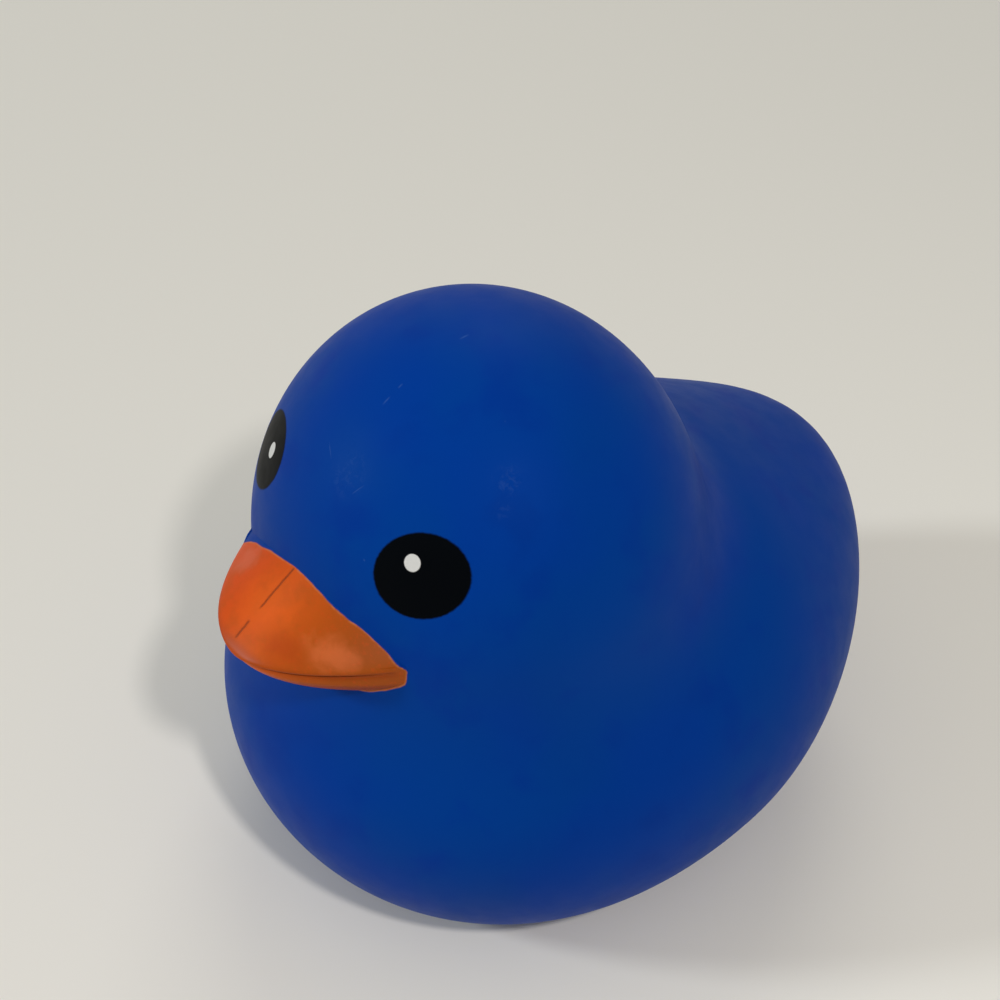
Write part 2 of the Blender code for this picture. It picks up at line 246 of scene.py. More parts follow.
def lip_ring(behind):
    """Section of the lower lip: a rolled side that tucks in under the bill, and a belly."""
    half = math.sqrt(LIP_SPREAD * behind)
    height = growth(behind, LIP_SLOPE, LIP_NOSE)
    high = mouth_line(behind + LIP_SETBACK)
    edge = height * LIP_EDGE / (height + LIP_EDGE)
    ring = []
    for across in across_steps(BEAK_ACROSS):
        rounding = 0.5 + 0.5 * math.sqrt(max(0.0, 1.0 - across ** LIP_SQUARENESS))
        belly = (height - edge) * (1.0 - abs(across) ** LIP_BELLY)
        ring.append((-half * across, high - edge * rounding - belly))
    bill_half = math.sqrt(BILL_SPREAD * (behind + LIP_SETBACK))
    groove = GROOVE_DEPTH * max(0.0, 1.0 - (behind / GROOVE_LENGTH) ** GROOVE_FADE)
    waist = max(min(half, bill_half) - groove, half / 3.0)
    roll = []
    for k in range(1, LIP_ROLL_STEPS + 1):
        swing = k * math.pi / (2.0 * LIP_ROLL_STEPS)
        roll.append((waist + (half - waist) * math.cos(swing),
                     high - edge * (0.5 - LIP_ROLL_RISE * math.sin(swing))))
    roll.append((waist, high + LIP_INTO_BILL * edge))
    ring += [(-x, z) for x, z in roll]
    ring.append((0.0, high + LIP_INTO_BILL * edge))
    ring += roll[::-1]
    return ring


def beak_loft(name, ring_at, tip_y):
    """Skins the sections, closer together at the tip, back to a flat end inside the head."""
    bm = bmesh.new()
    rings = []
    for i in range(1, BEAK_STATIONS + 1):
        behind = BEAK_ROOT * (i / BEAK_STATIONS) ** 2
        rings.append([bm.verts.new((x, tip_y + behind, z)) for x, z in ring_at(behind)])
    tip = bm.verts.new((0.0, tip_y, sum(v.co.z for v in rings[0]) / len(rings[0])))
    count = len(rings[0])
    for k in range(count):
        after = (k + 1) % count
        bm.faces.new((tip, rings[0][k], rings[0][after]))
        for here, there in zip(rings, rings[1:]):
            bm.faces.new((here[k], there[k], there[after], here[after]))
    bm.faces.new(rings[-1])
    return mesh_object(name, bm)


TURN_STEPS = 96


def turned(name, profile):
    """A profile of (radius, height) pairs, spun round the squeaker's axis."""
    bm = bmesh.new()
    verts = [bm.verts.new((radius, 0.0, height)) for radius, height in profile]
    edges = [bm.edges.new(pair) for pair in zip(verts, verts[1:])]
    bmesh.ops.spin(bm, geom=verts + edges, cent=(0, 0, 0), axis=(0, 0, 1),
                   angle=2.0 * math.pi, steps=TURN_STEPS, use_merge=True, use_duplicate=False)
    bmesh.ops.remove_doubles(bm, verts=bm.verts[:], dist=HAIR)
    return mesh_object(name, bm)


# The squeaker sits in a stepped hole in the base, which has a thicker ring of vinyl round it.

plug_low, plug_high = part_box("squeaker_plug")
plug_y = (plug_low.y + plug_high.y) / 2.0
FIT = 0.0003
WELL_RADIUS = (plug_high.x - plug_low.x) / 2.0 + FIT
WELL_DEPTH = 0.0015
WELL_LIP_ROUND = 0.0003
HOLE_RADIUS = 0.0045
COLLAR_RADIUS = 0.0100
COLLAR_RISE = 0.0016
COLLAR_TOP = WALL + COLLAR_RISE
ARC_MIDDLE = 0.3

shell = moulded_skin("duck_shell", SKIN_CUTS, 0.0)
skin_back = max(v.co.y for v in shell.data.vertices)
SET_BACK = (BEAK_REACH - skin_back) / 2.0

bill = beak_loft("bill_form", bill_ring, -BEAK_REACH)
lip = beak_loft("lip_form", lip_ring, LIP_SETBACK - BEAK_REACH)
hollow = moulded_skin("hollow_form", HOLLOW_CUTS, WALL)
collar = turned("collar_form", [(0.0, 0.0), (COLLAR_RADIUS, 0.0), (COLLAR_RADIUS, COLLAR_TOP),
                                (0.0, COLLAR_TOP)])
well = turned("well_form", [
    (0.0, -WALL),
    (WELL_RADIUS + WELL_LIP_ROUND + WALL, -WALL),
    (WELL_RADIUS + WELL_LIP_ROUND, 0.0),
    (WELL_RADIUS + ARC_MIDDLE * WELL_LIP_ROUND, ARC_MIDDLE * WELL_LIP_ROUND),
    (WELL_RADIUS, WELL_LIP_ROUND),
    (WELL_RADIUS, WELL_DEPTH),
    (HOLE_RADIUS, WELL_DEPTH),
    (HOLE_RADIUS, COLLAR_TOP + WALL),
    (0.0, COLLAR_TOP + WALL)])

collar.location.y = plug_y - SET_BACK
well.location.y = plug_y - SET_BACK
cut_or_join(hollow, collar, "DIFFERENCE")
cut_or_join(shell, bill, "UNION")
cut_or_join(shell, lip, "UNION")
cut_or_join(shell, hollow, "DIFFERENCE")
cut_or_join(shell, well, "DIFFERENCE")
bpy.context.view_layer.update()
cast = bpy.data.meshes.new_from_object(
    shell.evaluated_get(bpy.context.evaluated_depsgraph_get()))
shell.modifiers.clear()
shell.data = cast
for form in (bill, lip, hollow, collar, well):
    bpy.data.objects.remove(form, do_unlink=True)

# Where the beak's foot runs: the edges between its faces, which stand outside the duck's own form,
# and the skin's. The paint follows the distance from that line, in metres, below zero on the beak.

FOOT_STEP = 0.00004
PAINT_FIELD = 0.0060
BEAK_AHEAD = 0.3 * HEAD_SIZE[1]
PAINT_AHEAD = 0.2 * HEAD_SIZE[1]

middles = np.array([p.center[:] for p in cast.polygons])
beak_face = (duck_form(middles) > 0.0) & (middles[:, 1] < -BEAK_AHEAD)
sides = {}
for face in cast.polygons:
    for pair in face.edge_keys:
        sides.setdefault(pair, set()).add(bool(beak_face[face.index]))
spots = np.array([v.co[:] for v in cast.vertices])
foot_points = []
for (first, second), kinds in sides.items():
    if len(kinds) == 2:
        steps = int(np.linalg.norm(spots[second] - spots[first]) / FOOT_STEP) + 2
        foot_points += [spots[first] + (spots[second] - spots[first]) * share
                        for share in np.linspace(0.0, 1.0, steps)]
foot_tree = KDTree(len(foot_points))
for i, spot in enumerate(foot_points):
    foot_tree.insert(spot, i)
foot_tree.balance()
on_beak = np.zeros(len(spots), dtype=bool)
for face in cast.polygons:
    if beak_face[face.index]:
        on_beak[list(face.vertices)] = True
from_rim = np.full(len(spots), PAINT_FIELD)
for i in np.nonzero(spots[:, 1] < -PAINT_AHEAD)[0]:
    reach = min(foot_tree.find(spots[i])[2], PAINT_FIELD)
    from_rim[i] = -reach if on_beak[i] else reach
field = cast.attributes.new("from_beak", "FLOAT", "POINT")
field.data.foreach_set("value", from_rim.astype(np.float32))

# The whole duck is set back to lie evenly about Y = 0. This finer skin stands out a hair past the
# frame's coarser one, and is drawn in to its box.

SHARP_EDGE = math.radians(40.0)

cast.transform(Matrix.Translation((0.0, SET_BACK, 0.0)))
spots = np.array([v.co[:] for v in cast.vertices])
low_end, high_end = spots.min(axis=0), spots.max(axis=0)
box_low, box_high = np.array(cad_low), np.array(cad_high)
room_left = (box_high - box_low) / (high_end - low_end)
middle = np.where(room_left < 1.0, box_low + box_high, low_end + high_end) / 2.0
spots = middle + (spots - (low_end + high_end) / 2.0) * np.minimum(room_left, 1.0)
cast.vertices.foreach_set("co", spots.ravel().astype(np.float32))
cast.update()
cast.shade_smooth()
cast.set_sharp_from_angle(angle=SHARP_EDGE)

# Paint and print on the shell: the beak is sprayed orange through a mask, whose edge is uneven and
# a little thick, and each eye is a pad-printed black oval with a thick white dot in it. From here
# on to the squeaker, places and sizes are in mm.

MM_PER_M = 1000.0
FLOAT = "NodeSocketFloat"
VECTOR = "NodeSocketVector"
COLOUR = "NodeSocketColor"


def node(tree, kind, **settings):
    made = tree.nodes.new(kind)
    for name, value in settings.items():
        setattr(made, name, value)
    return made


def feed(tree, socket, source):
    """Sets the socket to a number or colour, or links it to another socket."""
    if isinstance(source, bpy.types.NodeSocket):
        tree.links.new(source, socket)
    else:
        socket.default_value = source


def calc(tree, operation, *sources, clamp=False):
    made = node(tree, "ShaderNodeMath", operation=operation, use_clamp=clamp)
    for socket, source in zip(made.inputs, sources):
        feed(tree, socket, source)
    return made.outputs[0]


def vector_calc(tree, operation, *sources):
    made = node(tree, "ShaderNodeVectorMath", operation=operation)
    for socket, source in zip(made.inputs, sources):
        feed(tree, socket, source)
    scalar = operation in ("DOT_PRODUCT", "LENGTH")
    return made.outputs["Value" if scalar else "Vector"]


def ramp(tree, source, start, end, low=0.0, high=1.0):
    """Eases from low to high as source goes from start to end."""
    made = node(tree, "ShaderNodeMapRange", interpolation_type="SMOOTHSTEP")
    for socket, value in zip(made.inputs, (source, start, end, low, high)):
        feed(tree, socket, value)
    return made.outputs[0]


def tint(tree, share, under, over):
    """One colour laid over another, by that share."""
    made = node(tree, "ShaderNodeMix", data_type="RGBA")
    feed(tree, made.inputs["Factor"], share)
    feed(tree, made.inputs["A"], under)
    feed(tree, made.inputs["B"], over)
    return made.outputs["Result"]


def clouds(tree, where, per_mm, detail=2.0, roughness=0.5, distortion=0.0):
    """Noise from 0 to 1, with about per_mm clouds in a mm."""
    made = node(tree, "ShaderNodeTexNoise")
    feed(tree, made.inputs["Vector"], where)
    made.inputs["Scale"].default_value = per_mm
    made.inputs["Detail"].default_value = detail
    made.inputs["Roughness"].default_value = roughness
    made.inputs["Distortion"].default_value = distortion
    return made.outputs["Fac"]


def about_zero(tree, noise, span):
    """Noise moved to lie about 0, over that span in all."""
    return calc(tree, "MULTIPLY", calc(tree, "SUBTRACT", noise, 0.5), span)


def split(tree, where):
    """The side (the duck's left), the way back and the height of a place."""
    axes = node(tree, "ShaderNodeSeparateXYZ")
    feed(tree, axes.inputs[0], where)
    return axes.outputs


def from_patch(tree, where, middle, reach):
    """Distance from the middle of a patch, 1 at its reach on each axis."""
    return vector_calc(tree, "LENGTH", vector_calc(
        tree, "DIVIDE", vector_calc(tree, "SUBTRACT", where, middle), reach))


def shared_group(name, inputs, outputs):
    """A shader node group with those sockets, and its inner ends."""
    tree = bpy.data.node_groups.new(name, "ShaderNodeTree")
    for label, kind in inputs:
        tree.interface.new_socket(label, in_out="INPUT", socket_type=kind)
    for label, kind in outputs:
        tree.interface.new_socket(label, in_out="OUTPUT", socket_type=kind)
    return tree, node(tree, "NodeGroupInput").outputs, node(tree, "NodeGroupOutput").inputs


def placed(tree, group, **sources):
    """One use of a shared group, with its inputs fed by name."""
    made = node(tree, "ShaderNodeGroup", node_tree=group)
    for name, source in sources.items():
        feed(tree, made.inputs[name], source)
    return made.outputs


def new_material(name):
    """A material, its node tree and its Principled shader."""
    made = bpy.data.materials.new(name)
    made.use_nodes = True
    return made, made.node_tree, made.node_tree.nodes["Principled BSDF"]


def place_on_piece(tree, scale=(MM_PER_M, MM_PER_M, MM_PER_M)):
    """Where a point lies on its piece, in mm unless another scale is given."""
    return vector_calc(
        tree, "MULTIPLY", node(tree, "ShaderNodeTexCoord").outputs["Object"], scale)


def add_relief(tree, shader, height, unit=1.0 / MM_PER_M):
    """Bumps the shader by a height in mm, or in another unit."""
    bump = node(tree, "ShaderNodeBump")
    bump.inputs["Distance"].default_value = unit
    feed(tree, bump.inputs["Height"], height)
    feed(tree, shader.inputs["Normal"], bump.outputs[0])


# Moulded grain: the slow waves and the fine bloom of a cast or moulded skin, as a height.

WAVES_PER_MM = 0.09
BLOOM_PER_MM = 3.2

moulded_grain, ends_in, ends_out = shared_group(
    "moulded_grain", [("Place", VECTOR), ("Waves", FLOAT), ("Grain", FLOAT)], [("Height", FLOAT)])
waves = clouds(moulded_grain, ends_in["Place"], WAVES_PER_MM)
bloom = clouds(moulded_grain, ends_in["Place"], BLOOM_PER_MM, detail=3.0, roughness=0.6)
feed(moulded_grain, ends_out["Height"], calc(
    moulded_grain, "ADD",
    calc(moulded_grain, "MULTIPLY", waves, ends_in["Waves"]),
    calc(moulded_grain, "MULTIPLY", bloom, ends_in["Grain"])))

# Specks: dust and tiny nicks, where a few cells of a grid hold one dot each, of uneven size.

SMALLEST_SPECK = 0.4

specks, ends_in, ends_out = shared_group(
    "specks", [("Place", VECTOR), ("Spacing", FLOAT), ("Size", FLOAT), ("Share", FLOAT)],
    [("Mask", FLOAT)])
cells = node(specks, "ShaderNodeTexVoronoi", feature="F1")
feed(specks, cells.inputs["Vector"], ends_in["Place"])
feed(specks, cells.inputs["Scale"], calc(specks, "DIVIDE", 1.0, ends_in["Spacing"]))
pick = node(specks, "ShaderNodeSeparateColor")
feed(specks, pick.inputs[0], cells.outputs["Color"])
chosen = calc(specks, "LESS_THAN", pick.outputs[0], ends_in["Share"])
radius = calc(specks, "DIVIDE", ends_in["Size"], ends_in["Spacing"])
dot = calc(specks, "SUBTRACT", 1.0, calc(
    specks, "DIVIDE", cells.outputs["Distance"],
    calc(specks, "MULTIPLY", radius, calc(specks, "ADD", SMALLEST_SPECK, pick.outputs[1]))),
    clamp=True)
feed(specks, ends_out["Mask"], calc(specks, "MULTIPLY", chosen, dot))

# Stroke: a scratch or a remnant of the seam between two points. It breaks off here and there, and
# fades to its ends by a taper of 4 x share x (1 - share), which is 1 at its middle.

STROKE_BREAKS_PER_MM = 1.6
STROKE_BREAKS = (0.25, 0.45)

stroke, ends_in, ends_out = shared_group(
    "stroke", [("Place", VECTOR), ("Start", VECTOR), ("End", VECTOR), ("Width", FLOAT)],
    [("Mask", FLOAT)])
run = vector_calc(stroke, "SUBTRACT", ends_in["End"], ends_in["Start"])
away = vector_calc(stroke, "SUBTRACT", ends_in["Place"], ends_in["Start"])
along = calc(stroke, "DIVIDE", vector_calc(stroke, "DOT_PRODUCT", away, run),
             vector_calc(stroke, "DOT_PRODUCT", run, run), clamp=True)
step_to = node(stroke, "ShaderNodeVectorMath", operation="SCALE")
feed(stroke, step_to.inputs[0], run)
feed(stroke, step_to.inputs["Scale"], along)
off = vector_calc(stroke, "LENGTH", vector_calc(stroke, "SUBTRACT", away, step_to.outputs[0]))
fade = calc(stroke, "SUBTRACT", 1.0, calc(stroke, "DIVIDE", off, ends_in["Width"]), clamp=True)
taper = calc(stroke, "MULTIPLY", calc(stroke, "MULTIPLY", along, 4.0),
             calc(stroke, "SUBTRACT", 1.0, along), clamp=True)
broken = ramp(stroke, clouds(stroke, ends_in["Place"], STROKE_BREAKS_PER_MM), *STROKE_BREAKS)
feed(stroke, ends_out["Mask"], calc(
    stroke, "MULTIPLY", calc(stroke, "MULTIPLY", fade, taper), broken))

# Blue: a deep pigment that varies a little in slow clouds, with dust, a worn underside, and rubbed
# marks whose places are from the head's middle. Scuffed patches on the head are also painted
# highlights: the blue is paler there, where the head catches the lamps.

VINYL_BLUE = (0.0003, 0.0372, 0.278, 1.0)
VINYL_BLUE_GREENER = (0.0003, 0.0410, 0.266, 1.0)
VINYL_BLUE_DEEPER = (0.0004, 0.0335, 0.262, 1.0)
RUBBED_AND_HIGHLIGHT_BLUE = (0.040, 0.110, 0.360, 1.0)
GREENER_PER_MM = 0.055
DEEPER_PER_MM = 0.16
DUST_SPACING = 2.6
DUST_SIZE = 0.10
DUST_SHARE = 0.16
DUST_WEAR = 0.35
RUBBED_MARKS = (
    ((0.43, -12.95, 23.30), (0.49, -11.95, 23.96), 0.13),
    ((0.52, -11.10, 24.47), (0.56, -10.50, 24.80), 0.13),
    ((0.85, -3.70, 27.17), (0.97, -2.50, 27.34), 0.16),
    ((-2.60, -17.30, 19.20), (-1.10, -18.20, 18.30), 0.09),
    ((3.10, -18.90, 17.00), (3.90, -17.90, 18.10), 0.09),
    ((7.00, -20.90, 12.60), (7.30, -20.50, 12.10), 0.12),
)
UNDERSIDE_HEIGHT = 0.6
UNDERSIDE_WEAR = 0.5
SCUFFS_AND_HIGHLIGHTS = (
    ((1.60, -30.30, 61.90), (2.90, 2.60, 4.20), 0.28),
    ((14.30, -21.10, 64.30), (1.90, 1.90, 2.00), 0.32),
    ((15.10, -22.50, 61.90), (1.50, 1.50, 1.60), 0.22),
)
SCUFF_AND_HIGHLIGHT_CORE = 0.3
WORN_AND_HIGHLIGHT_PALENESS = 0.55

head_middle = HEAD_CENTRE + np.array([0.0, SET_BACK, 0.0])
head_mm = Vector(head_middle * MM_PER_M)

deep_blue, ends_in, ends_out = shared_group(
    "deep_blue", [("Place", VECTOR)], [("Colour", COLOUR), ("Worn and highlit", FLOAT)])
place = ends_in["Place"]
slow = clouds(deep_blue, place, GREENER_PER_MM)
blue = tint(deep_blue, ramp(deep_blue, slow, 0.40, 0.62), VINYL_BLUE_GREENER, VINYL_BLUE)
smaller = clouds(deep_blue, place, DEEPER_PER_MM, detail=3.0)
blue = tint(deep_blue, ramp(deep_blue, smaller, 0.50, 0.72), blue, VINYL_BLUE_DEEPER)
dust = placed(deep_blue, specks, Place=place, Spacing=DUST_SPACING, Size=DUST_SIZE,
              Share=DUST_SHARE)["Mask"]
worn_and_highlit = calc(deep_blue, "MULTIPLY", dust, DUST_WEAR)
for start, end, width in RUBBED_MARKS:
    mark = placed(deep_blue, stroke, Place=place, Start=tuple(head_mm + Vector(start)),
                  End=tuple(head_mm + Vector(end)), Width=width)["Mask"]
    worn_and_highlit = calc(deep_blue, "MAXIMUM", worn_and_highlit, mark)
low_down = ramp(deep_blue, split(deep_blue, place)["Z"], UNDERSIDE_HEIGHT, 0.0, 0.0, UNDERSIDE_WEAR)
uneven = clouds(deep_blue, place, 0.5, detail=5.0, roughness=0.7)
worn_and_highlit = calc(deep_blue, "MAXIMUM", worn_and_highlit, calc(
    deep_blue, "MULTIPLY", low_down, ramp(deep_blue, uneven, 0.45, 0.75)))
tangled = clouds(deep_blue, place, 1.5, detail=5.0, roughness=0.75, distortion=0.8)
tangled = ramp(deep_blue, tangled, 0.48, 0.64)
# Painted highlights and scuffs: mottled patches where the head catches the lamps, made paler blue.
for middle, reach, share in SCUFFS_AND_HIGHLIGHTS:
    scuff_and_highlight = ramp(deep_blue, from_patch(deep_blue, place, middle, reach), 1.0, SCUFF_AND_HIGHLIGHT_CORE, 0.0, share)
    worn_and_highlit = calc(deep_blue, "MAXIMUM", worn_and_highlit, calc(deep_blue, "MULTIPLY", scuff_and_highlight, tangled))
paler = calc(deep_blue, "MULTIPLY", worn_and_highlit, WORN_AND_HIGHLIGHT_PALENESS)
feed(deep_blue, ends_out["Colour"], tint(deep_blue, paler, blue, RUBBED_AND_HIGHLIGHT_BLUE))
feed(deep_blue, ends_out["Worn and highlit"], worn_and_highlit)

# Orange: sprayed on the beak in an uneven coat, redder towards the duck's right side, with painted
# shade that makes it browner and darker on its left. Painted shade darkens the mouth groove, a
# painted highlight runs along the spray's edge, and three paler patches on the bill are painted
# highlights beside one dark smudge. Its mask ends at the beak's foot. It slipped a little, so the
# spray stops short of the foot at the far right.

BEAK_ORANGE = (0.615, 0.092, 0.0030, 1.0)
BEAK_RED = (0.605, 0.070, 0.0050, 1.0)
BEAK_BROWN_AND_SHADE = (0.345, 0.071, 0.0040, 1.0)
SPRAY_EDGE_HIGHLIGHT = (0.560, 0.190, 0.070, 1.0)
MOUTH_SHADE_AND_SEAM_BROWN = (0.270, 0.042, 0.0050, 1.0)
SHADED_BROWNER_SIDES = (-1.0, 11.0)
REDDER_SIDES = (2.0, -7.0)
BROWN_CLOUDS_PER_MM = 0.35
RED_MOTTLE_PER_MM = 2.2
# The first three patches are painted highlights on the bill; the last, darker one is a smudge.
HIGHLIGHTS_AND_SMUDGE_PATCHES = (
    ((-0.84, -39.50, 48.40), (5.0, 3.6, 3.4), 0.50, (0.780, 0.118, 0.0060, 1.0)),
    ((8.20, -38.10, 47.20), (4.0, 2.5, 1.8), 0.60, (0.680, 0.155, 0.0420, 1.0)),
    ((-7.80, -37.10, 48.00), (2.2, 2.4, 2.4), 0.60, (0.600, 0.130, 0.0600, 1.0)),
    ((4.60, -41.00, 47.00), (3.6, 2.2, 1.6), 0.50, (0.400, 0.046, 0.0030, 1.0)),
)
PATCH_EDGES = (1.1, 0.1)
PATCH_UNEVENNESS = 1.3
SPRAY_PAST_FOOT = -0.10
SPRAY_WOBBLE = 0.60
SPRAY_WOBBLE_PER_MM = 0.33
SPRAY_FUZZ = 0.08
SPRAY_EDGE_WIDTH = 0.30
MASK_SLIP = 2.0
SLIP_STARTS = -4.0
SLIP_SPAN = 8.8
SLIP_HEIGHTS = (-0.8, 0.5)
SLIP_UNDER_MOUTH = 0.3
SPRAY_ROUND_CORNER = 0.28
ROUND_CORNER_SIDES = (7.0, 10.5)
CORNER_HELD_BACK = 0.40
HELD_BACK_SIDES = (11.0, 12.8)
HELD_BACK_HEIGHTS = (0.1, 0.8)
GROOVE_UNDER = (-1.0, -0.2)
GROOVE_OVER = (0.75, 0.05)
GROOVE_INSIDE_FOOT = (-0.2, -1.2)
GROOVE_SHADE = 0.5
mouth_mm = MOUTH_Z * MM_PER_M
tip_mm = (SET_BACK - BEAK_REACH) * MM_PER_M


def span_from(datum, span):
    return [datum + distance for distance in span]


beak_spray, ends_in, ends_out = shared_group(
    "beak_spray", [("Place", VECTOR), ("From foot", FLOAT), ("Under", COLOUR)],
    [("Colour", COLOUR), ("Mask", FLOAT), ("Crease", FLOAT)])
place = ends_in["Place"]
from_foot = ends_in["From foot"]
side, behind, height = split(beak_spray, place)

wobble = clouds(beak_spray, place, SPRAY_WOBBLE_PER_MM, roughness=0.45)
ragged = calc(beak_spray, "ADD", from_foot, about_zero(beak_spray, wobble, SPRAY_WOBBLE))
slip = calc(beak_spray, "DIVIDE", calc(beak_spray, "SUBTRACT", SLIP_STARTS, side), SLIP_SPAN,
            clamp=True)
slip = calc(beak_spray, "MULTIPLY", calc(beak_spray, "POWER", slip, 2.0), MASK_SLIP)
slip_height = ramp(beak_spray, height, *span_from(mouth_mm, SLIP_HEIGHTS), SLIP_UNDER_MOUTH, 1.0)
ragged = calc(beak_spray, "ADD", ragged, calc(beak_spray, "MULTIPLY", slip, slip_height))
rounder = ramp(beak_spray, calc(beak_spray, "ABSOLUTE", side), *ROUND_CORNER_SIDES,
               0.0, SPRAY_ROUND_CORNER)
ragged = calc(beak_spray, "SUBTRACT", ragged, rounder)
held_back = ramp(beak_spray, side, *HELD_BACK_SIDES, 0.0, CORNER_HELD_BACK)
over_mouth = ramp(beak_spray, height, *span_from(mouth_mm, HELD_BACK_HEIGHTS))
ragged = calc(beak_spray, "ADD", ragged, calc(beak_spray, "MULTIPLY", held_back, over_mouth))
mask = ramp(beak_spray, ragged, SPRAY_PAST_FOOT + SPRAY_FUZZ, SPRAY_PAST_FOOT - SPRAY_FUZZ)

# Painted shade: the beak goes browner and darker towards the duck's left side. The browner clouds
# below are uneven tone.
orange = tint(beak_spray, ramp(beak_spray, side, *SHADED_BROWNER_SIDES), BEAK_ORANGE, BEAK_BROWN_AND_SHADE)
orange = tint(beak_spray, ramp(beak_spray, side, *REDDER_SIDES), orange, BEAK_RED)
browner = clouds(beak_spray, place, BROWN_CLOUDS_PER_MM, detail=4.0, roughness=0.6)
orange = tint(beak_spray, ramp(beak_spray, browner, 0.42, 0.66, 0.0, 0.32), orange, BEAK_BROWN_AND_SHADE)
redder = clouds(beak_spray, place, RED_MOTTLE_PER_MM, detail=3.0, roughness=0.6)
orange = tint(beak_spray, ramp(beak_spray, redder, 0.50, 0.75, 0.0, 0.35), orange, BEAK_RED)
patchy = about_zero(
    beak_spray, clouds(beak_spray, place, 0.45, detail=3.0, roughness=0.55, distortion=0.4),
    PATCH_UNEVENNESS)
# Painted highlights: paler spots where the bill catches the light, and one dark smudge.
for middle, reach, share, tone in HIGHLIGHTS_AND_SMUDGE_PATCHES:
    off = calc(beak_spray, "ADD", from_patch(beak_spray, place, middle, reach), patchy)
    orange = tint(beak_spray, ramp(beak_spray, off, *PATCH_EDGES, 0.0, share), orange, tone)
# Painted highlight: a paler band along the spray's raised edge, broken up by noise.
edge_highlight_breaks = clouds(beak_spray, place, 1.3)
edge = calc(beak_spray, "MULTIPLY",
            ramp(beak_spray, ragged, SPRAY_PAST_FOOT - SPRAY_EDGE_WIDTH, SPRAY_PAST_FOOT),
            ramp(beak_spray, edge_highlight_breaks, 0.35, 0.6, 0.25, 0.75))
orange = tint(beak_spray, edge, orange, SPRAY_EDGE_HIGHLIGHT)
# Painted shade: a darker band in the mouth groove, about the mouth line and inside the beak's foot.
groove = calc(beak_spray, "MULTIPLY",
              ramp(beak_spray, height, *span_from(mouth_mm, GROOVE_UNDER)),
              ramp(beak_spray, height, *span_from(mouth_mm, GROOVE_OVER)))
groove = calc(beak_spray, "MULTIPLY", groove, ramp(beak_spray, from_foot, *GROOVE_INSIDE_FOOT))
orange = tint(beak_spray, calc(beak_spray, "MULTIPLY", groove, GROOVE_SHADE), orange, MOUTH_SHADE_AND_SEAM_BROWN)

# The mould's parting line shows down the bill as a fine crease, a little off the middle and in two
# parts: one from the foot, and a shorter one at the tip.

PARTING_SIDE = -0.88
PARTING_WIDTH = 0.20
PARTING_WAVER = 0.30
PARTING_BACK_PART = (3.9, 4.4)
PARTING_FRONT_START = (0.7, 1.2)
PARTING_FRONT_END = (2.9, 2.6)
PARTING_FROM_FOOT = (0.0, -0.3)
PARTING_HEIGHTS = (0.3, 0.6)
PARTING_SHADE = 0.9

waver = clouds(beak_spray, place, 0.6, detail=3.0, roughness=0.6)
off = calc(beak_spray, "ABSOLUTE", calc(
    beak_spray, "ADD", about_zero(beak_spray, waver, PARTING_WAVER),
    calc(beak_spray, "SUBTRACT", side, PARTING_SIDE)))
crease = calc(beak_spray, "SUBTRACT", 1.0, calc(beak_spray, "DIVIDE", off, PARTING_WIDTH),
              clamp=True)
back_part = calc(beak_spray, "MULTIPLY",
                 ramp(beak_spray, behind, *span_from(tip_mm, PARTING_BACK_PART)),
                 ramp(beak_spray, from_foot, *PARTING_FROM_FOOT))
front_part = calc(beak_spray, "MULTIPLY",
                  ramp(beak_spray, behind, *span_from(tip_mm, PARTING_FRONT_START)),
                  ramp(beak_spray, behind, *span_from(tip_mm, PARTING_FRONT_END)))
crease = calc(beak_spray, "MULTIPLY", crease, calc(beak_spray, "MAXIMUM", back_part, front_part))
crease = calc(beak_spray, "MULTIPLY", crease,
              ramp(beak_spray, height, *span_from(mouth_mm, PARTING_HEIGHTS)))
orange = tint(beak_spray, calc(beak_spray, "MULTIPLY", crease, PARTING_SHADE), orange,
              MOUTH_SHADE_AND_SEAM_BROWN)
feed(beak_spray, ends_out["Colour"], tint(beak_spray, mask, ends_in["Under"], orange))
feed(beak_spray, ends_out["Mask"], mask)
feed(beak_spray, ends_out["Crease"], crease)

# Finish: satin blue skin, and a spray on the beak that lies over it as a thin shinier coat.

VINYL_GLOSS = 0.04
VINYL_SHEEN_COLOUR = (0.20, 0.50, 1.0, 1.0)
SPRAY_COAT = 0.18
SPRAY_COAT_ROUGHNESS = 0.36

vinyl, tree, skin = new_material("blue_vinyl_painted")
skin.inputs["Specular IOR Level"].default_value = VINYL_GLOSS
skin.inputs["Specular Tint"].default_value = VINYL_SHEEN_COLOUR
skin.inputs["Coat Roughness"].default_value = SPRAY_COAT_ROUGHNESS
place = place_on_piece(tree)
from_beak = node(tree, "ShaderNodeAttribute", attribute_name="from_beak").outputs["Fac"]
blue = placed(tree, deep_blue, Place=place)
spray = placed(tree, beak_spray, Place=place, Under=blue["Colour"],
               **{"From foot": calc(tree, "MULTIPLY", from_beak, MM_PER_M)})

# Eyes: pad-printed ovals on the head's sides, placed by their bearing from the head's middle, with
# slightly ragged edges and thick white dots. Both ovals lean the same way, so they aren't quite a
# pair: the right one is wider and sits farther back, and its dot is lower.

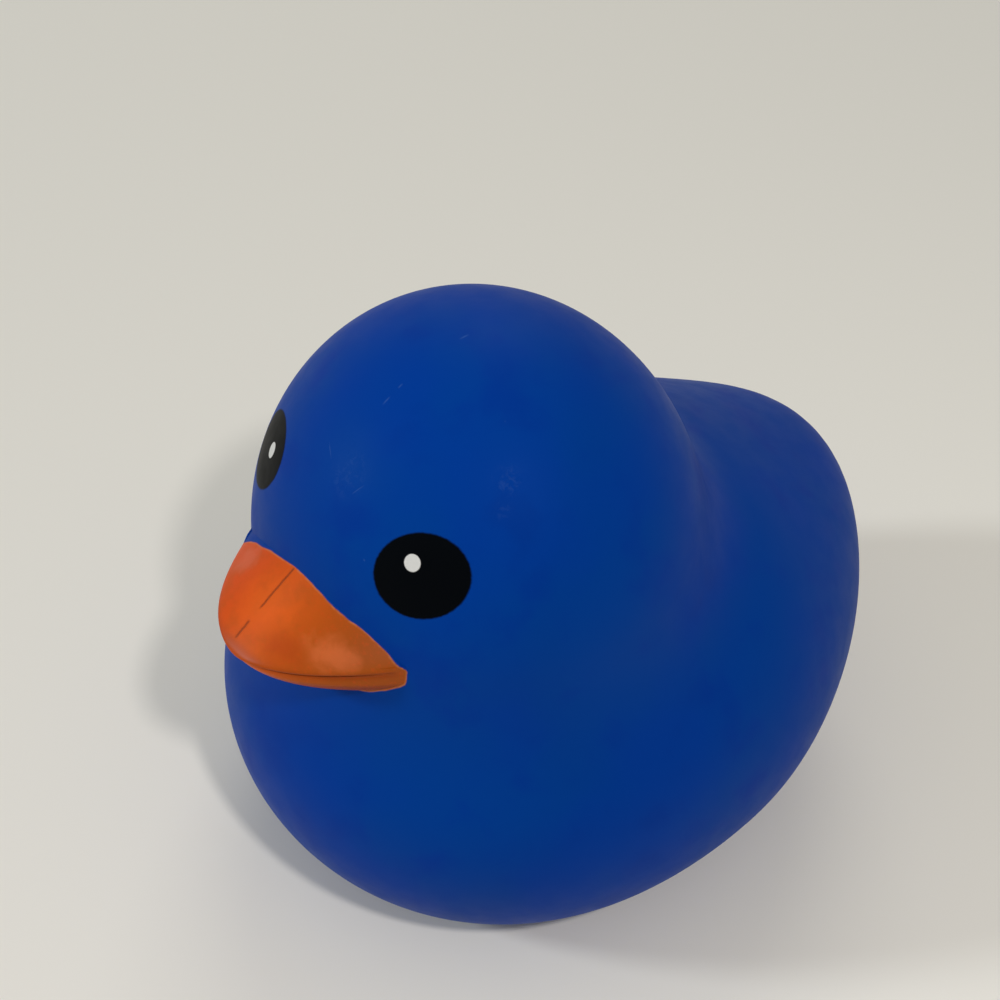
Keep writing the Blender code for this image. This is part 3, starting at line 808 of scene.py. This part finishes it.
PRINT_BLACK = (0.0014, 0.0014, 0.0014, 1.0)
PRINT_WHITE = (0.630, 0.635, 0.620, 1.0)
PRINT_RAGGED = 0.030
PRINT_RAGGED_PER_MM = 2.4
EYE_BEARING = math.radians(34.8)
EYE_ELEVATION = math.radians(29.5)
EYE_LEAN = math.radians(20.7)
EYE_HALF_WIDTH = 4.92
EYE_HALF_HEIGHT = 4.26
EYE_EDGE = (1.028, 0.972)
EYE_DEPTH = (-4.0, -3.5)
RIGHT_EYE_FARTHER = 0.50
RIGHT_EYE_WIDER = 0.25
DOT_ACROSS = -1.00
DOT_UP = 0.98
DOT_UP_UNEVEN = 0.20
DOT_HALF_WIDTH = 0.83
DOT_HALF_HEIGHT = 0.88
DOT_EDGE = (1.06, 0.94)

head_radii = np.array(HEAD_SIZE) / 2.0
eye_ray = np.array([math.sin(EYE_BEARING) * math.cos(EYE_ELEVATION),
                    -math.cos(EYE_BEARING) * math.cos(EYE_ELEVATION),
                    math.sin(EYE_ELEVATION)])
eye_spot = eye_ray / math.sqrt(((eye_ray / head_radii) ** 2).sum())
eye_out = Vector(eye_spot / head_radii ** 2).normalized()
eye_across = Vector((0, 0, 1)).cross(eye_out).normalized()
eye_up = eye_out.cross(eye_across)
eye_centre = Vector((head_middle + eye_spot) * MM_PER_M)


def oval(across, up, half_width, half_height):
    """Distance from an oval's middle, 1 at its edge."""
    return calc(tree, "SQRT", calc(
        tree, "ADD",
        calc(tree, "POWER", calc(tree, "DIVIDE", across, half_width), 2.0),
        calc(tree, "POWER", calc(tree, "DIVIDE", up, half_height), 2.0)))


side, behind, height = split(tree, place)
folded = node(tree, "ShaderNodeCombineXYZ")
feed(tree, folded.inputs[0], calc(tree, "ABSOLUTE", side))
feed(tree, folded.inputs[1], behind)
feed(tree, folded.inputs[2], height)
from_eye = vector_calc(tree, "SUBTRACT", folded.outputs[0], tuple(eye_centre))
across = vector_calc(tree, "DOT_PRODUCT", from_eye, tuple(eye_across))
up = vector_calc(tree, "DOT_PRODUCT", from_eye, tuple(eye_up))
out = vector_calc(tree, "DOT_PRODUCT", from_eye, tuple(eye_out))
hand = calc(tree, "SIGN", side)
lean = calc(tree, "MULTIPLY", hand, math.sin(EYE_LEAN))
leaning_across = calc(tree, "ADD", calc(tree, "MULTIPLY", across, math.cos(EYE_LEAN)),
                      calc(tree, "MULTIPLY", up, lean))
leaning_up = calc(tree, "SUBTRACT", calc(tree, "MULTIPLY", up, math.cos(EYE_LEAN)),
                  calc(tree, "MULTIPLY", across, lean))
on_right = calc(tree, "LESS_THAN", side, 0.0)
farther = calc(tree, "MULTIPLY", on_right, RIGHT_EYE_FARTHER)
half_width = calc(tree, "ADD", calc(tree, "MULTIPLY", on_right, RIGHT_EYE_WIDER), EYE_HALF_WIDTH)
on_face = ramp(tree, out, *EYE_DEPTH)
print_edge = about_zero(tree, clouds(tree, place, PRINT_RAGGED_PER_MM), PRINT_RAGGED)
eye_round = calc(tree, "ADD", oval(
    calc(tree, "SUBTRACT", leaning_across, farther), leaning_up, half_width, EYE_HALF_HEIGHT),
    print_edge)
eye_mask = calc(tree, "MULTIPLY", ramp(tree, eye_round, *EYE_EDGE), on_face)
dot_height = calc(tree, "ADD", DOT_UP, calc(tree, "MULTIPLY", hand, DOT_UP_UNEVEN))
dot_round = calc(tree, "ADD", oval(
    calc(tree, "SUBTRACT", across, DOT_ACROSS), calc(tree, "SUBTRACT", up, dot_height),
    DOT_HALF_WIDTH, DOT_HALF_HEIGHT), print_edge)
dot_mask = calc(tree, "MULTIPLY", ramp(tree, dot_round, *DOT_EDGE), on_face)

# The shell's colour, gloss and relief: heights in mm above or below the bare skin.

SATIN_PER_MM = 0.30
SATIN_ROUGHNESS = (0.42, 0.50)
WORN_ROUGHER = 0.12
SKIN_WAVES = 0.035
SKIN_GRAIN = 0.0030
SPRAY_THICKNESS = 0.050
PARTING_DEPTH = 0.12
WORN_DEPTH = 0.02
PRINT_THICKNESS = 0.012
DOT_THICKNESS = 0.050

colour = tint(tree, eye_mask, spray["Colour"], PRINT_BLACK)
feed(tree, skin.inputs["Base Color"], tint(tree, dot_mask, colour, PRINT_WHITE))
feed(tree, skin.inputs["Coat Weight"], calc(tree, "MULTIPLY", spray["Mask"], SPRAY_COAT))
satin = clouds(tree, place, SATIN_PER_MM, detail=4.0, roughness=0.6)
satin = ramp(tree, satin, 0.3, 0.7, *SATIN_ROUGHNESS)
feed(tree, skin.inputs["Roughness"],
     calc(tree, "ADD", satin, calc(tree, "MULTIPLY", blue["Worn and highlit"], WORN_ROUGHER)))
relief = placed(tree, moulded_grain, Place=place, Waves=SKIN_WAVES, Grain=SKIN_GRAIN)["Height"]
for mask, rise in ((spray["Mask"], SPRAY_THICKNESS), (spray["Crease"], -PARTING_DEPTH),
                   (blue["Worn and highlit"], -WORN_DEPTH), (eye_mask, PRINT_THICKNESS),
                   (dot_mask, DOT_THICKNESS)):
    relief = calc(tree, "ADD", relief, calc(tree, "MULTIPLY", mask, rise))
add_relief(tree, skin, relief)

cast.materials.clear()
cast.materials.append(vinyl)
cast.polygons.foreach_set("material_index", np.zeros(len(cast.polygons), dtype=np.int32))
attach(shell, "root")
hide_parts("vinyl_shell")

# Squeaker plug: a white moulded plastic cup, pressed into the stepped hole in the base, where its
# barb holds it. Like the next two pieces it keeps the frame's own shape, with its edges eased.

PLUG_WHITE = (0.72, 0.72, 0.68, 1.0)
PLUG_SHADE = (0.64, 0.62, 0.55, 1.0)
PLUG_EDGE_ROUND = 0.00015
PLASTIC_WAVES = 0.01
PLASTIC_SPECK_SIZE = 0.06
PLASTIC_SPECK_SHARE = 0.3
PLASTIC_SPECK_SHADE = 0.4
EASED_EDGES = math.radians(50.0)


def plastic(name, colour, shade, roughness, grain, spacing):
    """A moulded plastic with soft clouds in its colour, grain and specks."""
    made, tree, shader = new_material(name)
    place = place_on_piece(tree)
    body = tint(tree, ramp(tree, clouds(tree, place, 0.4, detail=3.0), 0.35, 0.65), colour, shade)
    dots = placed(tree, specks, Place=place, Spacing=spacing, Size=PLASTIC_SPECK_SIZE,
                  Share=PLASTIC_SPECK_SHARE)["Mask"]
    dots = calc(tree, "MULTIPLY", dots, PLASTIC_SPECK_SHADE)
    feed(tree, shader.inputs["Base Color"], tint(tree, dots, body, shade))
    handled = clouds(tree, place, 1.1, detail=3.0)
    feed(tree, shader.inputs["Roughness"],
         ramp(tree, handled, 0.3, 0.7, roughness - 0.05, roughness + 0.06))
    lift = placed(tree, moulded_grain, Place=place, Waves=PLASTIC_WAVES, Grain=grain)["Height"]
    add_relief(tree, shader, lift)
    return made


def refinish(name, material, edge_round):
    """Gives a frame piece its material and eased edges."""
    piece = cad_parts[name]
    for slot in piece.material_slots:
        slot.material = material
    ease = piece.modifiers.new("eased_edges", "BEVEL")
    ease.width = edge_round
    ease.segments = 2
    ease.limit_method = "ANGLE"
    ease.angle_limit = EASED_EDGES


white = plastic("white_plug_plastic", PLUG_WHITE, PLUG_SHADE, roughness=0.42, grain=0.004,
                spacing=0.9)
refinish("squeaker_plug", white, PLUG_EDGE_ROUND)

# Reed block: a small block of black moulded plastic that sits inside the plug and holds the reed
# over its air slot.

BLOCK_BLACK = (0.016, 0.016, 0.017, 1.0)
BLOCK_SHADE = (0.030, 0.030, 0.031, 1.0)
BLOCK_EDGE_ROUND = 0.00008

black = plastic("black_block_plastic", BLOCK_BLACK, BLOCK_SHADE, roughness=0.46, grain=0.003,
                spacing=0.8)
refinish("reed_block", black, BLOCK_EDGE_ROUND)

# Reed: a thin strip cut from rolled brass, which lies over the air slot of its block and buzzes
# there. The rolls left fine lines along its length.

BRASS = (0.70, 0.47, 0.17, 1.0)
BRASS_PALER = (0.80, 0.58, 0.25, 1.0)
BRASS_ROUGHNESS = (0.26, 0.38)
ROLLED_LINES = (6000.0, 6000.0, 300.0)
ROLLED_DEPTH = 0.000002
REED_EDGE_ROUND = 0.00004

brass, tree, shader = new_material("reed_brass")
shader.inputs["Metallic"].default_value = 1.0
rolled = clouds(tree, place_on_piece(tree, ROLLED_LINES), 1.0, detail=4.0, roughness=0.6)
feed(tree, shader.inputs["Base Color"], tint(tree, rolled, BRASS, BRASS_PALER))
feed(tree, shader.inputs["Roughness"], ramp(tree, rolled, 0.3, 0.7, *BRASS_ROUGHNESS))
add_relief(tree, shader, rolled, ROLLED_DEPTH)
refinish("squeaker_reed", brass, REED_EDGE_ROUND)

# Studio: a pale table that shows only from above and lets the room's light up under the duck, so
# that the base can be seen from below. Far off it fades into a pale backdrop. A small lamp over
# the duck, one in front of it and a large soft one behind it cast its shadows.

FLOOR_SIZE = 6.0
FLOOR_DROP = 0.0001
UNDER_DUCK = (0.024, 0.030, 1.0)
UNDER_DUCK_EDGE = (1.0, 0.7)
FLOOR_FADE = (0.45, 1.60)
TABLE_COLOUR = (0.845, 0.830, 0.765, 1.0)
TABLE_ROUGHNESS = 0.75
TABLE_GLOSS = 0.1

bm = bmesh.new()
bmesh.ops.create_grid(bm, x_segments=1, y_segments=1, size=FLOOR_SIZE / 2.0)
floor = mesh_object("floor", bm)
floor.location.z = -FLOOR_DROP

table_top, tree, shader = new_material("pale_table")
shader.inputs["Base Color"].default_value = TABLE_COLOUR
shader.inputs["Roughness"].default_value = TABLE_ROUGHNESS
shader.inputs["Specular IOR Level"].default_value = TABLE_GLOSS
clear = node(tree, "ShaderNodeBsdfTransparent")
facing = node(tree, "ShaderNodeMixShader")
spot = node(tree, "ShaderNodeNewGeometry").outputs
ray = node(tree, "ShaderNodeLightPath").outputs
under_duck = ramp(tree, vector_calc(tree, "LENGTH", vector_calc(
    tree, "DIVIDE", spot["Position"], UNDER_DUCK)), *UNDER_DUCK_EDGE)
far_off = ramp(tree, vector_calc(tree, "LENGTH", spot["Position"]), *FLOOR_FADE)
hidden = calc(tree, "MAXIMUM", calc(tree, "MULTIPLY", ray["Is Diffuse Ray"], under_duck),
              calc(tree, "MULTIPLY", ray["Is Camera Ray"], far_off))
feed(tree, facing.inputs[0], calc(tree, "MAXIMUM", spot["Backfacing"], hidden))
feed(tree, facing.inputs[1], shader.outputs[0])
feed(tree, facing.inputs[2], clear.outputs[0])
feed(tree, tree.nodes["Material Output"].inputs["Surface"], facing.outputs[0])
floor.data.materials.append(table_top)

ROOM_COLOUR = (1.0, 0.98, 0.94, 1.0)
ROOM_STRENGTH = 0.37
BACKDROP_COLOUR = (0.640, 0.625, 0.570, 1.0)

room = bpy.data.worlds.new("pale_room")
room.use_nodes = True
bpy.context.scene.world = room
tree = room.node_tree
air = tree.nodes["Background"]
air.inputs["Color"].default_value = ROOM_COLOUR
air.inputs["Strength"].default_value = ROOM_STRENGTH
backdrop = node(tree, "ShaderNodeBackground")
backdrop.inputs["Color"].default_value = BACKDROP_COLOUR
seen = node(tree, "ShaderNodeMixShader")
ray = node(tree, "ShaderNodeLightPath").outputs
feed(tree, seen.inputs[0], calc(tree, "ADD", ray["Is Camera Ray"], calc(
    tree, "ADD", ray["Is Glossy Ray"], ray["Is Transmission Ray"]), clamp=True))
feed(tree, seen.inputs[1], air.outputs[0])
feed(tree, seen.inputs[2], backdrop.outputs[0])
feed(tree, tree.nodes["World Output"].inputs["Surface"], seen.outputs[0])

LAMP_AIM = Vector((0.0, 0.0, 0.03))


def lamp(name, place, size, power, colour):
    """A round soft lamp that hangs at that place and looks at the duck."""
    light = bpy.data.lights.new(name, "AREA")
    light.shape = "DISK"
    light.size = size
    light.energy = power
    light.color = colour
    made = bpy.data.objects.new(name, light)
    bpy.context.scene.collection.objects.link(made)
    made.location = place
    made.rotation_mode = "QUATERNION"
    made.rotation_quaternion = (Vector(place) - LAMP_AIM).to_track_quat("Z", "Y")


lamp("ceiling_lamp", (0.169, -0.074, 0.256), size=0.022, power=0.30, colour=(1.0, 0.95, 0.93))
lamp("front_lamp", (-0.84, -1.20, 0.744), size=0.24, power=9.2, colour=(0.93, 0.97, 1.0))
lamp("back_light", (-0.75, 0.80, 1.20), size=0.9, power=4.0, colour=(1.0, 0.98, 0.94))

# Camera: where the photograph was taken from, above the duck's left cheek, turned a little.

BEARING = math.radians(47.8)
ELEVATION = math.radians(39.96)
ROLL = math.radians(1.78)
LENS_MM = 54.0
SENSOR_MM = 36.0
DISTANCE = 0.1661
SHIFT_RIGHT = -0.0024
SHIFT_UP = -0.0032
NEAREST_SEEN = 0.005

back = Vector((math.sin(BEARING) * math.cos(ELEVATION), -math.cos(BEARING) * math.cos(ELEVATION),
               math.sin(ELEVATION)))
level = Vector((math.cos(BEARING), math.sin(BEARING), 0.0))
upright = back.cross(level)
right = math.cos(ROLL) * level + math.sin(ROLL) * upright
upward = math.cos(ROLL) * upright - math.sin(ROLL) * level
lens = bpy.data.cameras.new("camera")
lens.lens = LENS_MM
lens.sensor_width = SENSOR_MM
lens.clip_start = NEAREST_SEEN
camera = bpy.data.objects.new("camera", lens)
bpy.context.scene.collection.objects.link(camera)
stand = Vector(head_middle) + back * DISTANCE - right * SHIFT_RIGHT - upward * SHIFT_UP
camera.matrix_world = Matrix((
    (right.x, upward.x, back.x, stand.x),
    (right.y, upward.y, back.y, stand.y),
    (right.z, upward.z, back.z, stand.z),
    (0.0, 0.0, 0.0, 1.0)))
bpy.context.scene.camera = camera
bpy.context.scene.view_settings.view_transform = "Standard"

bpy.context.view_layer.update()
